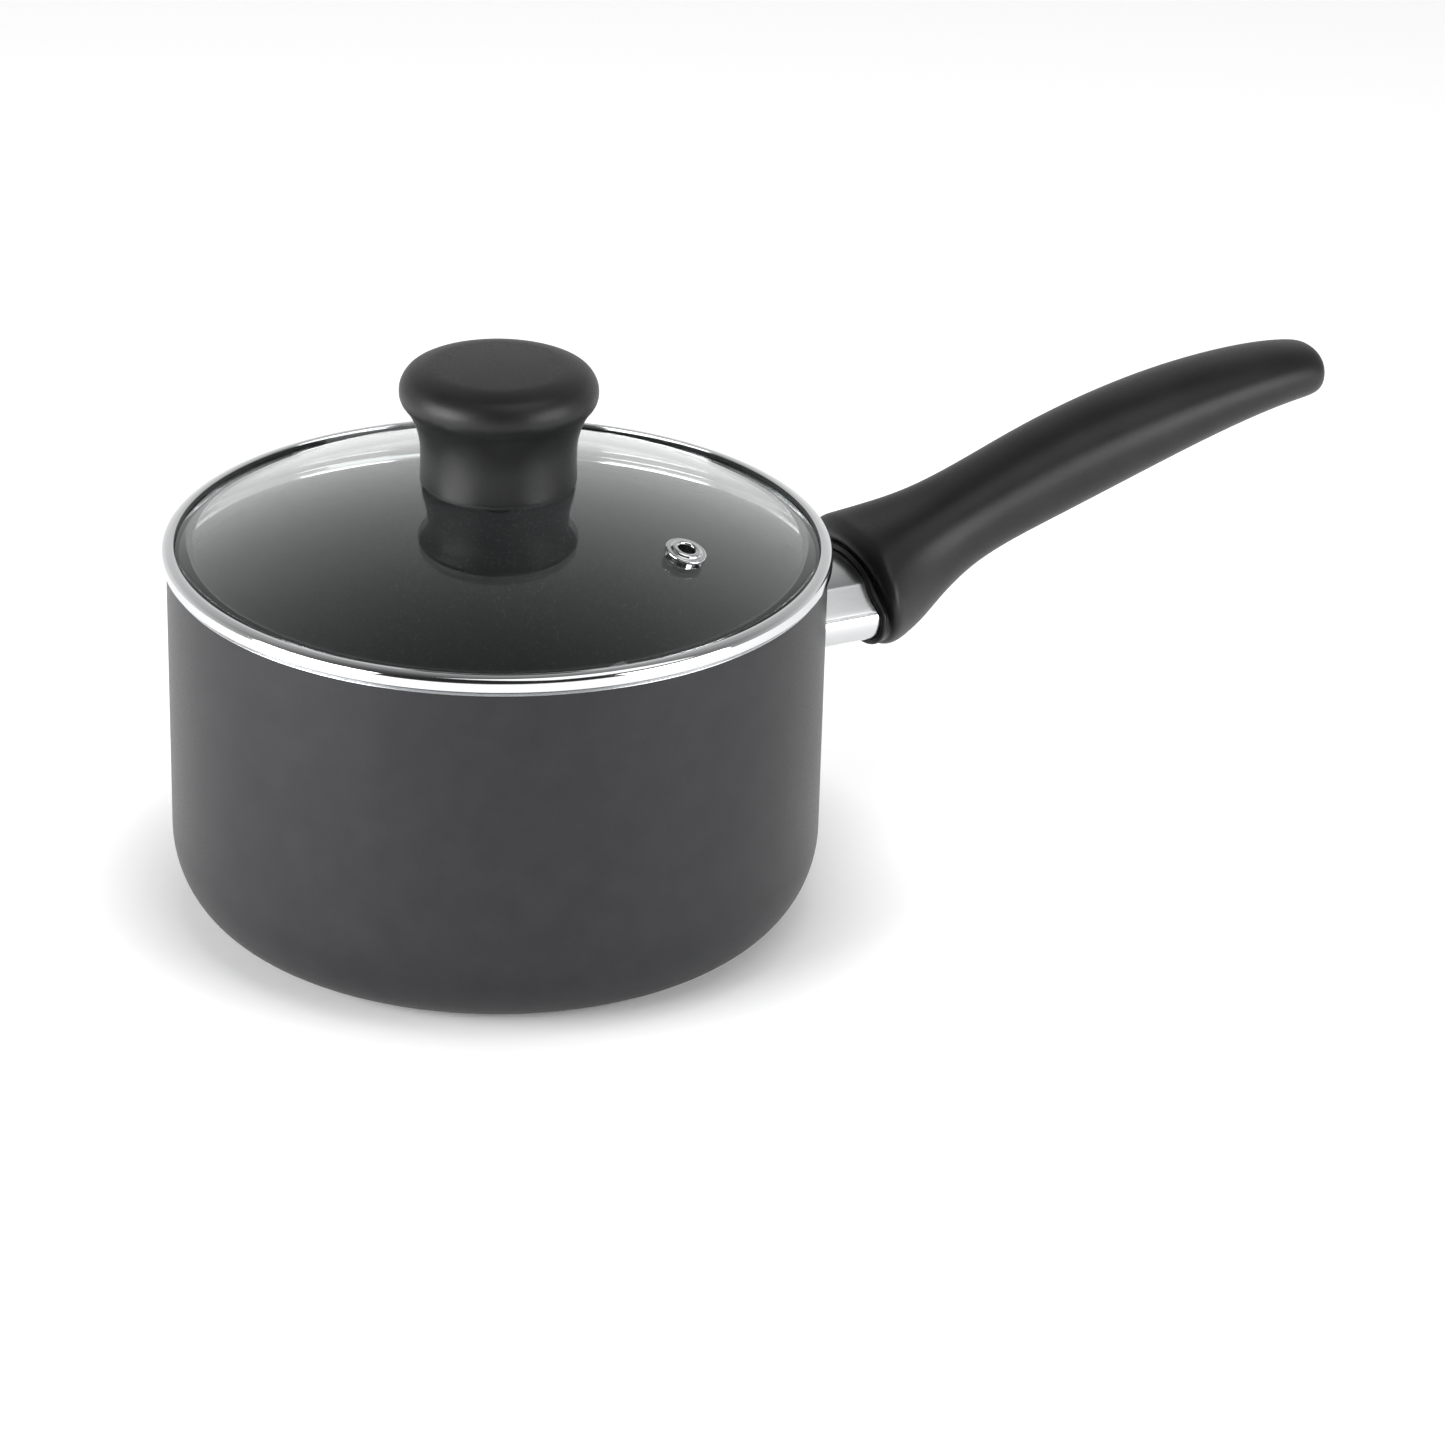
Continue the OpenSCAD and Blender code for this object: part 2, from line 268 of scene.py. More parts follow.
def pressed_steel(look):
    """Small stainless fittings, tumbled bright after pressing: eyelet, ring, washer and screws."""

    def ripple(tree):
        return grain(tree, object_place(tree), 1.2 * MM, 2.0)

    return bare_metal("pressed_steel", look.steel, ripple, (0.08, 0.18), (0.01 * MM, 0.3))


def zinc_plate(look):
    """Bright zinc plate on mild steel: pale grey, slightly clouded, for the hidden bracket."""
    material, tree, shader = new_material("zinc_plate", {"Metallic": 1.0})
    cloud = grain(tree, object_place(tree), 3 * MM, 4.0)
    colour = tint(tree, spread(tree, cloud, 0.35, 0.65, 0, 1), "#a9acb0", "#c9cbcd")
    tree.links.new(colour, shader.inputs["Base Color"])
    tree.links.new(spread(tree, cloud, 0.3, 0.7, 0.28, 0.42), shader.inputs["Roughness"])
    return material


def phenolic_resin(look):
    """Black phenolic moulding with a fine spark-eroded texture from the mould.

    A soft satin sheen and a leathery micro grain, real about 0.15 mm and drawn at 0.7 mm.
    """
    material, tree, shader = new_material(
        "phenolic_resin", {"IOR": 1.55, "Specular IOR Level": 0.27}
    )
    place = object_place(tree)
    pebble = add_node(
        tree,
        "ShaderNodeTexVoronoi",
        {"feature": "SMOOTH_F1"},
        {"Vector": place, "Scale": 1 / (0.7 * MM), "Smoothness": 0.6},
    ).outputs["Distance"]
    fine = grain(tree, place, 0.5 * MM, 3.0)
    both = add_node(
        tree, "ShaderNodeMath", {"operation": "ADD"}, {0: pebble, 1: fine}
    ).outputs[0]
    cloud = grain(tree, place, 14 * MM, 2.0)
    colour = tint(tree, spread(tree, cloud, 0.35, 0.65, 0, 1), look.resin, "#1b1b1c")
    tree.links.new(colour, shader.inputs["Base Color"])
    tree.links.new(
        spread(tree, fine, 0.3, 0.7, look.resin_roughness - 0.05, look.resin_roughness + 0.06),
        shader.inputs["Roughness"],
    )
    add_bump(tree, shader, both, 0.03 * MM, 0.45)
    return material


def clear_pressed_glass(look):
    """Clear soda-lime glass, pressed and tempered. Lamp light passes it without a caustic."""
    material, tree, shader = new_material(
        "clear_pressed_glass",
        {
            "Base Color": linear("#f6faf9"),
            "Roughness": 0.0,
            "IOR": 1.52,
            "Transmission Weight": 1.0,
        },
    )
    ripple = grain(tree, object_place(tree), 30 * MM, 1.0)
    add_bump(tree, shader, ripple, 0.02 * MM, 0.2)
    clear = add_node(
        tree, "ShaderNodeBsdfTransparent", inputs={"Color": linear("#f2f6f5")}
    )
    path = add_node(tree, "ShaderNodeLightPath")
    mixed = add_node(
        tree,
        "ShaderNodeMixShader",
        inputs={0: path.outputs["Is Shadow Ray"], 1: shader.outputs[0], 2: clear.outputs[0]},
    )
    output = next(n for n in tree.nodes if n.bl_idname == "ShaderNodeOutputMaterial")
    tree.links.new(mixed.outputs[0], output.inputs["Surface"])
    return material


def silicone_rubber(look):
    """Moulded silicone gasket: matt black, with a dusty fine tooth."""
    material, tree, shader = new_material("silicone_rubber", {"Roughness": 0.6, "IOR": 1.42})
    tooth = grain(tree, object_place(tree), 0.5 * MM, 3.0)
    colour = tint(tree, spread(tree, tooth, 0.35, 0.65, 0, 1), "#161616", "#222223")
    tree.links.new(colour, shader.inputs["Base Color"])
    add_bump(tree, shader, tooth, 0.02 * MM, 0.5)
    return material


def turned_brass(look):
    """Free-cutting brass, turned and knurled, for the insert moulded in the knob."""
    return bare_metal("turned_brass", "#c9a356", turned_lines(0.3 * MM, 1.0), (0.22, 0.38))


def studio_paper(look):
    """Matt paper with a faint tooth that glows by itself: painted light that keeps the floor
    white.

    The glow is much weaker where the pan stands, a painted shadow round its foot that adds to the
    lamps' own shadow.
    """
    material, tree, shader = new_material(
        "studio_paper",
        {"Roughness": 0.9, "Emission Color": linear("#ffffff")},
    )
    away = add_node(
        tree, "ShaderNodeVectorMath", {"operation": "LENGTH"}, {0: object_place(tree)}
    ).outputs["Value"]
    # Within these distances of the axis the glow fades: a painted shadow round the pan's foot
    painted_shadow_full_to, painted_shadow_ends_at = 86 * MM, 125 * MM
    glow = spread(tree, away, painted_shadow_full_to, painted_shadow_ends_at, 0.08, 0.5)
    tree.links.new(glow, shader.inputs["Emission Strength"])
    tooth = grain(tree, object_place(tree), 4 * MM, 3.0)
    colour = tint(tree, spread(tree, tooth, 0.3, 0.7, 0, 1), "#f6f6f6", "#fafafa")
    tree.links.new(colour, shader.inputs["Base Color"])
    return material


FINISHES = {
    finish.__name__: finish
    for finish in (
        metallic_coating,
        nonstick_coating,
        turned_aluminium,
        polished_band_steel,
        satin_guard_steel,
        pressed_steel,
        zinc_plate,
        phenolic_resin,
        clear_pressed_glass,
        silicone_rubber,
        turned_brass,
        studio_paper,
    )
}


def finish_named(name):
    """The material of that finish, made the first time it is asked for."""
    found = bpy.data.materials.get(name)
    return found or FINISHES[name](bpy.context.scene.saucepan_look)


# ---------------------------------------------------------------- mesh tools


def draw_chain(bm, places, closed=False):
    """A chain of edges through some places; returns its verts."""
    verts = [bm.verts.new(place) for place in places]
    ends = verts[1:] + verts[:1] if closed else verts[1:]
    for start, end in zip(verts, ends):
        bm.edges.new((start, end))
    return verts


def draw_outline(bm, corners, closed=False, segments=5):
    """A chain of edges through (radius, height, round) corners in the XZ plane."""
    verts = draw_chain(bm, [(radius, 0, height) for radius, height, _ in corners], closed)
    for vert, (_, _, rounding) in zip(verts, corners):
        if rounding:
            round_corner(bm, vert, rounding, segments)


def round_corner(bm, vert, rounding, segments):
    """Rounds a corner of an outline, and returns the verts of its arc."""
    return bmesh.ops.bevel(
        bm,
        geom=[vert],
        offset=rounding,
        offset_type="OFFSET",
        segments=segments,
        profile=0.5,
        affect="VERTICES",
        material=-1,
    )["verts"]


def turn_round(bm, steps=ROUND_STEPS):
    """Spins the whole outline round the Z axis and closes its seam and poles."""
    bmesh.ops.spin(
        bm,
        geom=bm.verts[:] + bm.edges[:],
        cent=(0, 0, 0),
        axis=(0, 0, 1),
        dvec=(0, 0, 0),
        angle=2 * pi,
        steps=steps,
        use_merge=True,
    )
    bmesh.ops.remove_doubles(bm, verts=bm.verts, dist=0.001 * MM)
    bmesh.ops.recalc_face_normals(bm, faces=bm.faces)


def face_outward(bm, middle, along):
    """Turns an open sheet's faces away from a middle point, seen along the axes that count."""
    away = sum(f.normal.dot((f.calc_center_median() - middle) * along) for f in bm.faces)
    if away < 0:
        bmesh.ops.reverse_faces(bm, faces=bm.faces)


def link_object(name, data):
    """A new object in the scene, at the origin."""
    made = bpy.data.objects.new(name, data)
    bpy.context.scene.collection.objects.link(made)
    return made


def new_mesh(name, bm):
    """A mesh made from a bmesh, which is freed."""
    mesh = bpy.data.meshes.new(name)
    bm.to_mesh(mesh)
    bm.free()
    return mesh


def make_piece(name, bm, body, finishes, replaced, sharp=40):
    """Turns a bmesh into a finished piece that rides on a body and replaces CAD nodes."""
    mesh = new_mesh(name, bm)
    mesh.shade_smooth()
    mesh.set_sharp_from_angle(angle=radians(sharp))
    for finish in finishes:
        mesh.materials.append(finish_named(finish))
    piece = link_object(name, mesh)
    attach(piece, body)
    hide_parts(*replaced)
    return piece


def cut_away(piece, cutter_bm):
    """Cuts the cutter's closed shape out of a piece, for good, with its modifiers applied."""
    mesh = new_mesh("cutter", cutter_bm)
    cutter = link_object("cutter", mesh)
    modifier = piece.modifiers.new("cut", "BOOLEAN")
    modifier.operation = "DIFFERENCE"
    modifier.solver = "EXACT"
    modifier.object = cutter
    depsgraph = bpy.context.evaluated_depsgraph_get()
    cut = bpy.data.meshes.new_from_object(piece.evaluated_get(depsgraph))
    piece.modifiers.clear()
    old = piece.data
    piece.data = cut
    cut.name = old.name
    bpy.data.meshes.remove(old)
    bpy.data.objects.remove(cutter)
    bpy.data.meshes.remove(mesh)


def dress(node, finish):
    """Gives a CAD node that stays its finish."""
    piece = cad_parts[node]
    piece.data.materials.clear()
    piece.data.materials.append(finish_named(finish))


def sphere_height(radius, sphere_radius, centre_height):
    """Height of a dome at a distance from its axis."""
    return centre_height + sqrt(sphere_radius**2 - radius**2)


# ---------------------------------------------------------------- sizes a user may change


class SaucepanPan(bpy.types.PropertyGroup):
    """Sizes of the drawn pan."""

    wall: bpy.props.FloatProperty(
        name="Wall", description="Thickness of the pan's wall", default=2.4 * MM, unit="LENGTH"
    )
    base: bpy.props.FloatProperty(
        name="Base", description="Thickness of the pan's base", default=3.4 * MM, unit="LENGTH"
    )
    draft: bpy.props.FloatProperty(
        name="Draft",
        description="How much smaller the wall's radius is at its foot",
        default=0.4 * MM,
        unit="LENGTH",
    )
    corner: bpy.props.FloatProperty(
        name="Corner",
        description="Reach of the round corner along the base",
        default=19 * MM,
        unit="LENGTH",
    )
    corner_stretch: bpy.props.FloatProperty(
        name="Corner stretch",
        description="How much taller the round corner is than it is wide",
        default=1.247,
    )
    bare_rim: bpy.props.FloatProperty(
        name="Bare rim",
        description="Height of the bare turned metal at the rim",
        default=0.3 * MM,
        unit="LENGTH",
    )


class SaucepanLid(bpy.types.PropertyGroup):
    """Sizes of the glass dome, its band and its vent."""

    dome_radius: bpy.props.FloatProperty(
        name="Dome radius",
        description="Radius of the glass's upper face",
        default=200 * MM,
        unit="LENGTH",
    )
    dome_top: bpy.props.FloatProperty(
        name="Dome top",
        description="Height of the dome's top above the base",
        default=125.3 * MM,
        unit="LENGTH",
    )
    glass: bpy.props.FloatProperty(
        name="Glass", description="Thickness of the glass", default=3.8 * MM, unit="LENGTH"
    )
    sheet: bpy.props.FloatProperty(
        name="Sheet", description="Thickness of the band's sheet", default=0.6 * MM, unit="LENGTH"
    )
    vent_offset: bpy.props.FloatProperty(
        name="Vent offset",
        description="Distance of the vent from the lid's axis",
        default=59 * MM,
        unit="LENGTH",
    )
    vent_angle: bpy.props.FloatProperty(
        name="Vent direction",
        description="Direction of the vent from the handle",
        default=radians(-57),
        subtype="ANGLE",
    )


class SaucepanLook(bpy.types.PropertyGroup):
    """Colours and finishes."""

    steel: bpy.props.StringProperty(
        name="Steel", description="sRGB hex colour of the stainless steel", default="#d6d7d8"
    )
    resin: bpy.props.StringProperty(
        name="Resin", description="sRGB hex colour of the handle's resin", default="#141415"
    )
    resin_roughness: bpy.props.FloatProperty(
        name="Resin roughness", description="Roughness of the resin", default=0.42, min=0, max=1
    )
    coat_roughness: bpy.props.FloatProperty(
        name="Coating roughness",
        description="Roughness of the pan's outer coating",
        default=0.42,
        min=0,
        max=1,
    )


class SaucepanStage(bpy.types.PropertyGroup):
    """Camera and studio light."""

    camera_place: bpy.props.FloatVectorProperty(
        name="Camera",
        description="Where the camera stands",
        default=(-0.5959, -1.2799, 0.7096),
        unit="LENGTH",
    )
    camera_aim: bpy.props.FloatVectorProperty(
        name="Aim",
        description="The point that the middle of the view looks at",
        default=(0.0489, -0.0414, 0.0600),
        unit="LENGTH",
    )
    camera_roll: bpy.props.FloatProperty(
        name="Roll",
        description="Turn of the camera about its own line of sight",
        default=radians(1.445),
        subtype="ANGLE",
    )
    lens: bpy.props.FloatProperty(
        name="Lens", description="Focal length", default=139.96, unit="CAMERA"
    )
    surround: bpy.props.FloatProperty(
        name="Surround", description="Brightness of the white surroundings", default=1.0
    )


# ---------------------------------------------------------------- pan


# Inner radii of the rings turned in the base, and their section
BASE_RINGS = (22 * MM, 36 * MM, 50 * MM, 64 * MM)
RING_DEPTH, RING_WIDTH, RING_SLOPE = 0.3 * MM, 1.6 * MM, 0.2 * MM


def pan_outline(bm, size):
    """Half section of the pan: ringed base, round corner, wall, rim, and the inside."""
    radius, height = PAN_HIGH.y, PAN_HIGH.z
    foot = radius - size.draft
    corners = [(0, 0)]
    for inner in BASE_RINGS:
        corners += [
            (inner, 0),
            (inner + RING_SLOPE, RING_DEPTH),
            (inner + RING_WIDTH - RING_SLOPE, RING_DEPTH),
            (inner + RING_WIDTH, 0),
        ]
    base_corner = len(corners)
    corners += [
        (foot, 0),
        (radius, height - size.bare_rim),
        (radius, height),
        (radius - size.wall, height),
        (foot - size.wall, size.base),
        (0, size.base),
    ]
    verts = draw_chain(bm, [(r, 0, z) for r, z in corners])
    outer, _, rim_out, rim_in, inner, _ = verts[base_corner:]
    for vert, reach, floor in (
        (outer, size.corner, 0),
        (inner, size.corner - size.wall, size.base),
    ):
        arc = round_corner(bm, vert, reach, 20)
        stretch = Vector((1, 1, size.corner_stretch))
        bmesh.ops.scale(
            bm, vec=stretch, space=Matrix.Translation((0, 0, -floor)), verts=arc
        )
    round_corner(bm, rim_out, 0.55 * MM, 4)
    round_corner(bm, rim_in, 0.9 * MM, 5)


class SAUCEPAN_OT_pan(bpy.types.Operator):
    """Builds the pan with its coatings and bare rim, and dresses the handle's bracket and screw"""

    bl_idname = "saucepan.pan"
    bl_label = "Pan"

    def execute(self, context):
        size = context.scene.saucepan_pan
        bm = bmesh.new()
        pan_outline(bm, size)
        turn_round(bm)
        rim_height = PAN_HIGH.z - size.bare_rim
        coated, inside, bare = 0, 1, 2
        for face in bm.faces:
            middle = face.calc_center_median()
            outward = face.normal.x * middle.x + face.normal.y * middle.y
            faces_in = outward < 0 and middle.z > size.base
            on_floor = face.normal.z > 0.3 and middle.z > size.base * 0.9
            if middle.z > rim_height:
                face.material_index = bare
            elif faces_in or on_floor:
                face.material_index = inside
            elif face.normal.z < -0.9 and hypot(middle.x, middle.y) < PAN_HIGH.y - size.corner:
                face.material_index = bare
            else:
                face.material_index = coated
        make_piece(
            "pan_shell",
            bm,
            "pan",
            ("metallic_coating", "nonstick_coating", "turned_aluminium"),
            ("pan_body",),
            sharp=35,
        )
        for node in ("bracket_pad", "bracket_tongue", "weld_nut", "handle_lock_washer"):
            dress(node, "zinc_plate")
        dress("handle_screw", "pressed_steel")
        return {"FINISHED"}


# ---------------------------------------------------------------- lid


GLASS_SEAT = 0.95 * MM  # height of the band's ledge above the pan's rim
CENTRE_HOLE, VENT_HOLE = 4 * MM, 3.6 * MM  # radii


class SAUCEPAN_OT_glass(bpy.types.Operator):
    """Builds the pressed glass dome with its ground edge and two holes"""

    bl_idname = "saucepan.glass"
    bl_label = "Lid glass"

    def execute(self, context):
        size = context.scene.saucepan_lid
        sheet = size.sheet
        edge = BAND_HIGH.x - sheet - 0.5 * MM
        seat = PAN_HIGH.z + GLASS_SEAT + sheet
        centre = size.dome_top - size.dome_radius
        inner_radius = size.dome_radius - size.glass
        flat_from = sqrt(inner_radius**2 - (seat - centre) ** 2)
        bm = bmesh.new()
        upper_hole, upper_edge = self.arc(bm, CENTRE_HOLE, edge, size.dome_radius, centre, 64)
        lower_hole, lower_edge = self.arc(bm, CENTRE_HOLE, flat_from, inner_radius, centre, 60)
        corner = bm.verts.new((edge, 0, seat))
        bm.edges.new((upper_edge, corner))
        bm.edges.new((corner, lower_edge))
        bm.edges.new((upper_hole, lower_hole))
        round_corner(bm, corner, 0.6 * MM, 4)
        turn_round(bm, 256)
        glass = make_piece(
            "glass_dome",
            bm,
            "lid",
            ("clear_pressed_glass",),
            ("lid_glass",),
            sharp=30,
        )
        drill = bmesh.new()
        bmesh.ops.create_cone(
            drill,
            cap_ends=True,
            segments=48,
            radius1=VENT_HOLE,
            radius2=VENT_HOLE,
            depth=30 * MM,
            matrix=vent_place(size),
        )
        cut_away(glass, drill)
        return {"FINISHED"}

    def arc(self, bm, start, end, radius, centre, steps):
        """An arc of the dome from one distance from the axis to another; returns its two ends."""
        vert = bm.verts.new((start, 0, sphere_height(start, radius, centre)))
        sweep = atan2(end, sqrt(radius**2 - end**2)) - atan2(start, sqrt(radius**2 - start**2))
        last = bmesh.ops.spin(
            bm,
            geom=[vert],
            cent=(0, 0, centre),
            axis=(0, 1, 0),
            dvec=(0, 0, 0),
            angle=sweep,
            steps=steps,
        )["geom_last"]
        return vert, next(v for v in last if isinstance(v, bmesh.types.BMVert))


def vent_place(size):
    """The vent's own frame: origin on the glass, +Z along the glass's normal."""
    tilt = atan2(size.vent_offset, sqrt(size.dome_radius**2 - size.vent_offset**2))
    return (
        Matrix.Rotation(size.vent_angle, 4, "Z")
        @ Matrix.Translation((0, 0, size.dome_top - size.dome_radius))
        @ Matrix.Rotation(tilt, 4, "Y")
        @ Matrix.Translation((0, 0, size.dome_radius))
    )


class SAUCEPAN_OT_band(bpy.types.Operator):
    """Builds the rolled steel band with its ledge and stepped skirt"""

    bl_idname = "saucepan.band"
    bl_label = "Steel band"

    def execute(self, context):
        size = context.scene.saucepan_lid
        outer, top, foot = BAND_HIGH.x, BAND_HIGH.z, BAND_LOW.z
        rim = PAN_HIGH.z + 0.05 * MM
        raised = rim + 1.0 * MM
        lip = outer - 3.3 * MM
        skirt = outer - 4.2 * MM
        low = skirt - 1.3 * MM
        step = rim - 2.85 * MM
        bm = bmesh.new()
        draw_outline(
            bm,
            [
                (low - 0.5 * MM, foot + 0.15 * MM, 0),
                (low - 0.05 * MM, foot + 0.1 * MM, 0.25 * MM),
                (low, step - 0.9 * MM, 0.5 * MM),
                (skirt, step, 0.5 * MM),
                (skirt, rim + 0.05 * MM, 0.4 * MM),
                (outer - 2.9 * MM, rim, 0.25 * MM),
                (outer - 2.2 * MM, raised, 0.3 * MM),
                (outer, raised, 0.4 * MM),
                (outer, top - 0.45 * MM, 1.2 * MM),
                (lip + 0.8 * MM, top + 0.25 * MM, 0.7 * MM),
                (lip, top + 0.05 * MM, 0.3 * MM),
                (lip - 0.2 * MM, top - 1.5 * MM, 0),
            ],
            segments=6,
        )
        turn_round(bm)
        face_outward(bm, Vector(), Vector((1, 1, 1)))
        bmesh.ops.solidify(bm, geom=bm.faces[:], thickness=size.sheet)
        bmesh.ops.recalc_face_normals(bm, faces=bm.faces)
        band = make_piece(
            "lid_band",
            bm,
            "lid",
            ("polished_band_steel",),
            ("rim_band",),
            sharp=50,
        )
        soften = band.modifiers.new("soft_edges", "BEVEL")
        soften.width = 0.15 * MM
        soften.segments = 2
        soften.angle_limit = radians(50)
        return {"FINISHED"}


class SAUCEPAN_OT_vent(bpy.types.Operator):
    """Builds the rolled steam eyelet and dresses its gasket and ring"""

    bl_idname = "saucepan.vent"
    bl_label = "Steam vent"

    def execute(self, context):
        size = context.scene.saucepan_lid
        bore, tube, flange = 2.4 * MM, 3.5 * MM, 5.7 * MM
        low, under, over, lip = -5.4 * MM, 0.55 * MM, 1.35 * MM, 2.0 * MM
        bm = bmesh.new()
        draw_outline(
            bm,
            [
                (bore, low, 0.2 * MM),
                (tube, low, 0.2 * MM),
                (tube, under, 0),
                (flange, under, 0.25 * MM),
                (flange, over, 0.5 * MM),
                (4.35 * MM, over - 0.12 * MM, 0.3 * MM),
                (3.95 * MM, lip, 0.45 * MM),
                (bore + 0.1 * MM, lip, 0.55 * MM),
                (bore, over, 0.2 * MM),
            ],
            closed=True,
            segments=5,
        )
        turn_round(bm, 64)
        bmesh.ops.transform(bm, matrix=vent_place(size), verts=bm.verts)
        make_piece(
            "steam_eyelet",
            bm,
            "lid",
            ("pressed_steel",),
            ("vent_eyelet",),
            sharp=50,
        )
        dress("vent_gasket", "silicone_rubber")
        dress("vent_ring", "pressed_steel")
        return {"FINISHED"}


# ---------------------------------------------------------------- knob


class SAUCEPAN_OT_knob(bpy.types.Operator):
    """Builds the mushroom knob and dresses its fittings"""

    bl_idname = "saucepan.knob"
    bl_label = "Knob"

    def execute(self, context):
        size = context.scene.saucepan_lid
        head, top = KNOB_HIGH.x, KNOB_HIGH.z
        foot = 21.4 * MM
        neck = 21.3 * MM
        bore, bore_top = 4.55 * MM, 140.1 * MM
        seat_radius = size.dome_radius + 0.85 * MM
        centre = size.dome_top - size.dome_radius
        bm = bmesh.new()
        draw_outline(
            bm,
            [
                (0, bore_top, 0),
                (bore, bore_top, 0),
                (bore, sphere_height(bore, seat_radius, centre), 0.3 * MM),
                (13 * MM, sphere_height(13 * MM, seat_radius, centre), 4 * MM),
                (foot, sphere_height(foot, seat_radius, centre), 0.35 * MM),
                (neck, 128.5 * MM, 1.5 * MM),
                (neck, 139.5 * MM, 5.5 * MM),
                (25.3 * MM, 146.4 * MM, 0),
                (head - 0.1 * MM, 147.8 * MM, 2 * MM),
                (head, 154.1 * MM, 3.3 * MM),
                (21.6 * MM, 157.7 * MM, 4.3 * MM),
                (0, top, 0),
            ],
            segments=6,
        )
        turn_round(bm, 128)
        make_piece(
            "lid_knob",
            bm,
            "lid",
            ("phenolic_resin",),
            ("knob_grip",),
            sharp=45,
        )
        dress("knob_insert", "turned_brass")
        dress("knob_screw", "pressed_steel")
        dress("flat_washer", "pressed_steel")
        dress("spring_washer", "zinc_plate")
        dress("knob_gasket", "silicone_rubber")
        dress("under_gasket", "silicone_rubber")
        return {"FINISHED"}


# ---------------------------------------------------------------- handle

# Outline of the flame guard about its own centre: side, height, in millimetres.
# The crown meets the sides at a crease, and the sheet's two halves meet at a seam.
CREASE_SIDE = 14.0
SEAM_SIDE = 21.75
GUARD_OUTLINE = (
    (0.0, 10.5),
    (7.2, 9.7),
    (13.2, 7.8),
    (CREASE_SIDE, 7.2),
    (18.6, 4.0),
    (21.6, 1.9),
    (SEAM_SIDE, 1.6),
    (22.3, 1.3),
    (23.0, -0.8),
    (22.2, -4.6),
    (19.4, -7.7),
    (13.8, -9.8),
    (6.8, -10.4),
    (0.0, -10.5),
)

# Socket rings inside the mouth, then the rolled lip that grips the guard and the groove
# behind it: distance from the mouth and growth outside the guard's outline, in millimetres
LIP_RINGS = (
    (7.6, 0.05),
    (2.3, 0.05),
    (1.25, 0.2),
    (0.95, 0.8),
    (1.25, 1.5),
    (2.0, 1.9),
    (2.6, 1.5),
    (3.1, 1.4),
)
# Handle rings: distance from the mouth, rise above the mouth, half width, half height,
# dish of the thumb hollow, all in millimetres
HANDLE_RINGS = (
    (3.4, -1.7, 25.0, 13.5, 0.0),
    (3.9, -1.2, 26.0, 15.2, 0.0),
    (5.4, -0.4, 26.6, 16.8, 0.2),
    (8.0, 0.1, 25.0, 17.7, 0.9),
    (13.5, 2.5, 22.0, 17.3, 1.5),
    (19.5, 5.3, 18.8, 16.1, 1.7),
    (26.5, 8.4, 16.4, 14.3, 1.3),
    (35.5, 12.4, 14.7, 12.7, 0.6),
    (47.5, 17.1, 14.2, 12.5, 0.1),
    (63.5, 22.9, 14.6, 13.1, 0.0),
    (79.5, 28.2, 15.1, 12.9, 0.0),
    (95.5, 32.9, 15.3, 12.1, 0.0),
    (111.5, 36.9, 14.9, 11.0, 0.0),
    (127.5, 39.9, 13.9, 9.7, 0.0),
    (140.1, 41.3, 12.6, 8.7, 0.0),
    (147.7, 41.5, 11.5, 8.0, 0.0),
    (151.8, 41.4, 10.4, 7.5, 0.0),
    (154.2, 41.4, 8.4, 6.3, 0.0),
    (154.9, 41.5, 4.7, 3.8, 0.0),
)
RING_SIDES = 32
MOUTH_GAP, MOUTH_HEIGHT = 16.2 * MM, 75.5 * MM  # the mouth, from the pan's wall and its base
SQUARENESS = 2.25  # power of the handle's oval section: 2 is a plain ellipse
BELLY = 0.06  # how much narrower the section is below than above, as a share of its width
MOUTH_HOOD = 0.06  # how far the mouth's top leans over the guard, as a share of its height
SETTLE_FROM, SETTLE_OVER = 1.5, 12  # where, in mm from the mouth, the section starts to tilt
WAVE_DEPTH, WAVE_HEIGHT, WAVE_REACH = 0.9, 4.6, 3.0  # the dip in the lip beside the crease, mm


def oval_ring(bm, half_width, half_height, dish, belly):
    """A ring of verts in the YZ plane: a squared oval, narrower below, dished on top."""
    power = SQUARENESS
    made = bmesh.ops.create_circle(bm, segments=RING_SIDES, radius=1.0)["verts"]
    for vert in made:
        side, up = vert.co.x, vert.co.y
        swell = (abs(side) ** power + abs(up) ** power) ** (-1 / power)
        side, up = side * swell, up * swell
        hollow = dish * max(up, 0) * max(0, 1 - (side / 0.75) ** 2) ** 2
        vert.co = (
            0,
            side * half_width * (1 + belly * up),
            up * half_height - hollow,
        )
    return made


def outline_point(ray):
    """Where a ray from the flame guard's centre crosses its outline, on the +Y side."""
    found = None
    for start, end in zip(GUARD_OUTLINE, GUARD_OUTLINE[1:]):
        before, after = ray.cross(Vector(start)), ray.cross(Vector(end))
        if before >= -1e-6 >= after - 2e-6:
            found = Vector(start).lerp(Vector(end), before / (before - after))
    if found is None:
        raise ValueError(f"the ray {tuple(ray)} misses the flame guard's outline")
    return found


def guard_ring(bm, growth, wave):
    """A ring of verts that follows the flame guard's outline at a distance outside it."""
    made = bmesh.ops.create_circle(bm, segments=RING_SIDES, radius=1.0)["verts"]
    half_width, half_height = GUARD_OUTLINE[9][0], GUARD_OUTLINE[0][1]
    for vert in made:
        side = -1 if vert.co.x < 0 else 1
        point = outline_point(Vector((abs(vert.co.x) * half_width, vert.co.y * half_height)))
        away = Vector((point.x / half_width**2, point.y / half_height**2)).normalized()
        beside_crease = point.x > CREASE_SIDE - 1
        ripple = wave * max(0.0, 1 - ((point.y - WAVE_HEIGHT) / WAVE_REACH) ** 2) * beside_crease
        point += away * growth
        vert.co = (-ripple * MM, side * point.x * MM, point.y * MM)
    return made


def ring_edges(verts):
    """The edges that join verts of one ring."""
    members = set(verts)
    return list({e for v in verts for e in v.link_edges if e.other_vert(v) in members})


